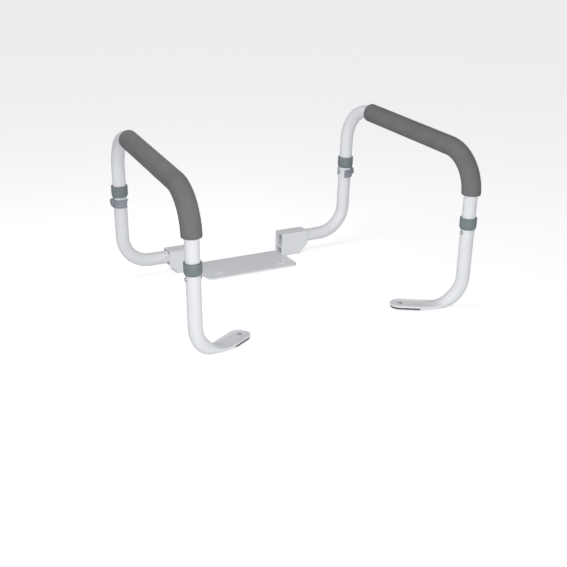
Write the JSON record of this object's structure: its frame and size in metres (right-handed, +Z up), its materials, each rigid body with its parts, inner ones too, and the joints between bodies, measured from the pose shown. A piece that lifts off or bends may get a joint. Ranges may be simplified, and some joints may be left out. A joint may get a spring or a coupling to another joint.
{
  "type": "toilet safety frame",
  "caption": "Padded height- and width-adjustable support arms on a bracket clamped by the seat bolts of a toilet, with flattened front feet on the bowl rim.",
  "frame": {"origin": "midway between the two seat bolt slots, on the underside of the mounting plate (the plane of the toilet deck and bowl rim)", "axes": "+X to the right seen from in front of the toilet, -Y to the front (user side), +Y to the tank, +Z up"},
  "size_m": [0.5898, 0.447, 0.3266],
  "materials": {
    "powder_coat": "white powder coat, satin",
    "collar_nylon": "moulded grey nylon, satin",
    "clip_nylon": "moulded blue-grey nylon, satin",
    "grip_foam": "matte closed-cell foam skin",
    "pad_rubber": "matte moulded rubber",
    "button_steel": "nickel-plated dome, slightly warm",
    "spring_steel": "rolled spring strip",
    "zinc_steel": "bright zinc",
    "natural_nylon": "natural moulded nylon",
    "knob_plastic": "moulded, fine texture"
  },
  "bodies": {
    "bracket": {"mounting_plate": "powder_coat", "left_riser": "powder_coat", "right_riser": "powder_coat", "left_socket": "powder_coat", "right_socket": "powder_coat", "weld_nuts": "zinc_steel"},
    "left_lower": {"left_rear_tube": "powder_coat", "left_front_tube": "powder_coat", "left_rear_collar": "collar_nylon", "left_front_collar": "collar_nylon", "left_foot_pad": "pad_rubber", "left_foot_rivet": "zinc_steel", "left_stop_rivet": "powder_coat", "left_spring_anchor": "natural_nylon"},
    "left_arm": {"left_hoop": "powder_coat", "left_grip": "grip_foam", "left_leg_glides": "natural_nylon"},
    "left_clip_set": {"left_clip": "clip_nylon", "left_clip_pin": "zinc_steel"},
    "left_outer_button": {"left_button_outer": "button_steel", "left_leaf_outer": "spring_steel"},
    "left_inner_button": {"left_button_inner": "button_steel", "left_leaf_inner": "spring_steel"},
    "left_width_lock": {"left_width_screw": "zinc_steel", "left_width_knob": "knob_plastic"},
    "right_lower": {"right_rear_tube": "powder_coat", "right_front_tube": "powder_coat", "right_rear_collar": "collar_nylon", "right_front_collar": "collar_nylon", "right_foot_pad": "pad_rubber", "right_foot_rivet": "zinc_steel", "right_stop_rivet": "powder_coat", "right_spring_anchor": "natural_nylon"},
    "right_arm": {"right_hoop": "powder_coat", "right_grip": "grip_foam", "right_leg_glides": "natural_nylon"},
    "right_clip_set": {"right_clip": "clip_nylon", "right_clip_pin": "zinc_steel"},
    "right_outer_button": {"right_button_outer": "button_steel", "right_leaf_outer": "spring_steel"},
    "right_inner_button": {"right_button_inner": "button_steel", "right_leaf_inner": "spring_steel"},
    "right_width_lock": {"right_width_screw": "zinc_steel", "right_width_knob": "knob_plastic"}
  },
  "joints": [
    {"name": "left_width", "type": "slide", "parent": "bracket", "child": "left_lower", "axis": [-1, 0, 0], "range_m": [0, 0.0254]},
    {"name": "left_height", "type": "slide", "parent": "left_lower", "child": "left_arm", "axis": [-0.0297, 0, 0.9996], "range_m": [0, 0.06]},
    {"name": "left_clip_pull", "type": "slide", "parent": "left_lower", "child": "left_clip_set", "axis": [-0.9996, 0, -0.0297], "range_m": [0, 0.032]},
    {"name": "left_outer_button_press", "type": "hinge", "parent": "left_lower", "child": "left_outer_button", "pos_m": [-0.27993, -0.34069, 0.0722], "axis": [0, 1, 0], "range_deg": [0, 5]},
    {"name": "left_inner_button_press", "type": "hinge", "parent": "left_lower", "child": "left_inner_button", "pos_m": [-0.26433, -0.34069, 0.07266], "axis": [0, -1, 0], "range_deg": [0, 5]},
    {"name": "left_width_lock_turn", "type": "hinge", "parent": "bracket", "child": "left_width_lock", "pos_m": [-0.1305, 0.058, 0.0325], "axis": [0, 1, 0], "range_deg": [0, 360]},
    {"name": "right_width", "type": "slide", "parent": "bracket", "child": "right_lower", "axis": [1, 0, 0], "range_m": [0, 0.0254]},
    {"name": "right_height", "type": "slide", "parent": "right_lower", "child": "right_arm", "axis": [0.0297, 0, 0.9996], "range_m": [0, 0.06]},
    {"name": "right_clip_pull", "type": "slide", "parent": "right_lower", "child": "right_clip_set", "axis": [0.9996, 0, -0.0297], "range_m": [0, 0.032]},
    {"name": "right_outer_button_press", "type": "hinge", "parent": "right_lower", "child": "right_outer_button", "pos_m": [0.27993, -0.34069, 0.0722], "axis": [0, -1, 0], "range_deg": [0, 5]},
    {"name": "right_inner_button_press", "type": "hinge", "parent": "right_lower", "child": "right_inner_button", "pos_m": [0.26433, -0.34069, 0.07266], "axis": [0, 1, 0], "range_deg": [0, 5]},
    {"name": "right_width_lock_turn", "type": "hinge", "parent": "bracket", "child": "right_width_lock", "pos_m": [0.1305, 0.058, 0.0325], "axis": [0, 1, 0], "range_deg": [0, 360]}
  ]
}
